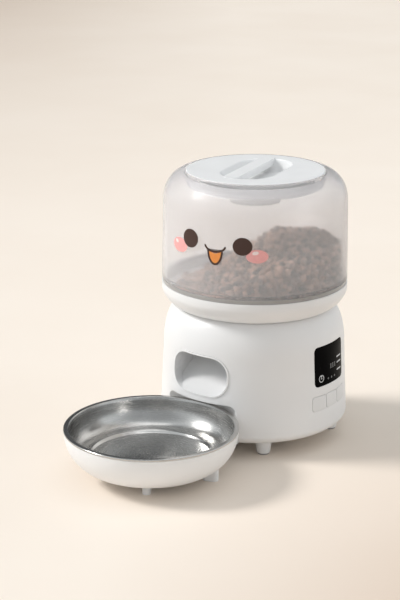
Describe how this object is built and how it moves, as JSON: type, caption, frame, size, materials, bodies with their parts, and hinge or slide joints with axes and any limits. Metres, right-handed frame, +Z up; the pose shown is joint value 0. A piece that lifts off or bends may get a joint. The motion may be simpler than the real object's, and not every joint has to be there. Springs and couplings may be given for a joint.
{
  "type": "automatic pet feeder",
  "caption": "Drum-shaped pet feeder: frosted hopper with lift-off lid, geared portion rotor, front outlet, side display with keys, and a docked steel bowl on a tray.",
  "frame": {"origin": "middle of the footprint of feeder and docked bowl, on the floor; the drum's vertical axis is 78.0 mm behind it, at +Y", "axes": "+Z up; the food outlet and the bowl face -Y; the display and keys are on the +X side"},
  "size_m": [0.1972, 0.3532, 0.2822],
  "materials": {
    "white_plastic": "satin moulded ABS, softly glossy",
    "button_plastic": "satin moulded ABS caps with faint raised marks",
    "frosted_plastic": "frosted translucent polycarbonate",
    "inner_plastic": "natural matt moulded plastic",
    "silicone": "soft silicone",
    "foot_rubber": "soft pale rubber",
    "gear_acetal": "natural acetal",
    "brass": "turned brass",
    "plated_steel": "zinc-plated steel",
    "motor_can": "drawn steel can",
    "display_gloss": "black glossy acrylic",
    "black_plastic": "black moulded plastic",
    "circuit_board": "green solder mask over fibreglass",
    "brushed_steel": "satin stainless steel with turned floor"
  },
  "bodies": {
    "base": {"base_housing": "white_plastic", "base_deck": "inner_plastic", "deck_screws": "plated_steel", "outlet_chute": "white_plastic", "bottom_plate": "white_plastic", "bottom_screws": "plated_steel", "base_feet": "white_plastic", "foot_pads": "foot_rubber", "battery_box": "inner_plastic", "battery_contacts": "plated_steel", "gearbox_case": "inner_plastic", "gearbox_cover": "inner_plastic", "gearbox_screws": "plated_steel", "shaft_bush": "brass", "reduction_pin": "plated_steel", "gear_motor": "motor_can", "motor_screws": "plated_steel", "motor_terminals": "plated_steel", "display_window": "display_gloss", "display_module": "black_plastic", "control_board": "circuit_board", "board_parts": "black_plastic", "button_switches": "black_plastic", "button_carrier": "inner_plastic", "power_inlet": "black_plastic", "inlet_pin": "plated_steel"},
    "door": {"battery_door": "white_plastic"},
    "drive": {"output_gear": "gear_acetal"},
    "idler": {"reduction_gear": "gear_acetal"},
    "pinion": {"motor_pinion": "brass", "motor_shaft": "plated_steel"},
    "key_1": {"button_1": "button_plastic"},
    "key_2": {"button_2": "button_plastic"},
    "key_3": {"button_3": "button_plastic"},
    "hopper": {"hopper": "frosted_plastic", "rim_ring": "silicone", "hopper_collar": "white_plastic", "outlet_baffle": "inner_plastic", "wiper": "silicone"},
    "rotor": {"portion_rotor": "inner_plastic", "stirrer": "inner_plastic", "rotor_screw": "plated_steel"},
    "lid": {"lid": "white_plastic", "lid_grip_bar": "white_plastic", "lid_plug": "inner_plastic", "lid_seal": "silicone", "desiccant_box": "inner_plastic", "desiccant_cover": "inner_plastic"},
    "tray": {"bowl_tray": "white_plastic", "tray_feet": "foot_rubber", "tray_tongue": "white_plastic", "tongue_screws": "plated_steel"},
    "bowl": {"steel_bowl": "brushed_steel"}
  },
  "joints": [
    {"name": "hopper_lift", "type": "slide", "parent": "base", "child": "hopper", "axis": [0, 0, 1], "range_m": [0, 0.08]},
    {"name": "lid_lift", "type": "slide", "parent": "hopper", "child": "lid", "axis": [0, 0, 1], "range_m": [0, 0.06]},
    {"name": "rotor_spin", "type": "hinge", "parent": "hopper", "child": "rotor", "pos_m": [0, 0.078, 0.13], "axis": [0, 0, 1], "continuous": true},
    {"name": "drive_spin", "type": "hinge", "parent": "base", "child": "drive", "pos_m": [0, 0.078, 0.1], "axis": [0, 0, 1], "continuous": true},
    {"name": "idler_spin", "type": "hinge", "parent": "base", "child": "idler", "pos_m": [0, 0.102, 0.1], "axis": [0, 0, 1], "continuous": true},
    {"name": "pinion_spin", "type": "hinge", "parent": "base", "child": "pinion", "pos_m": [-0.024, 0.102, 0.1], "axis": [0, 0, 1], "continuous": true},
    {"name": "key_1_press", "type": "slide", "parent": "base", "child": "key_1", "axis": [-0.9986, -0.0523, 0], "range_m": [0, 0.0008], "stiffness_N_per_m": 400},
    {"name": "key_2_press", "type": "slide", "parent": "base", "child": "key_2", "axis": [-0.9986, -0.0523, 0], "range_m": [0, 0.0008], "stiffness_N_per_m": 400},
    {"name": "key_3_press", "type": "slide", "parent": "base", "child": "key_3", "axis": [-0.9986, -0.0523, 0], "range_m": [0, 0.0008], "stiffness_N_per_m": 400},
    {"name": "tray_pull", "type": "slide", "parent": "base", "child": "tray", "axis": [0, -1, 0], "range_m": [0, 0.1]},
    {"name": "bowl_lift", "type": "slide", "parent": "tray", "child": "bowl", "axis": [0, 0, 1], "range_m": [0, 0.005]},
    {"name": "door_slide", "type": "slide", "parent": "base", "child": "door", "axis": [0, 1, 0], "range_m": [0, 0.068]}
  ],
  "couplings": [
    {"joint": "drive_spin", "follows": "rotor_spin", "ratio": 1},
    {"joint": "idler_spin", "follows": "rotor_spin", "ratio": -3},
    {"joint": "pinion_spin", "follows": "rotor_spin", "ratio": 9}
  ]
}
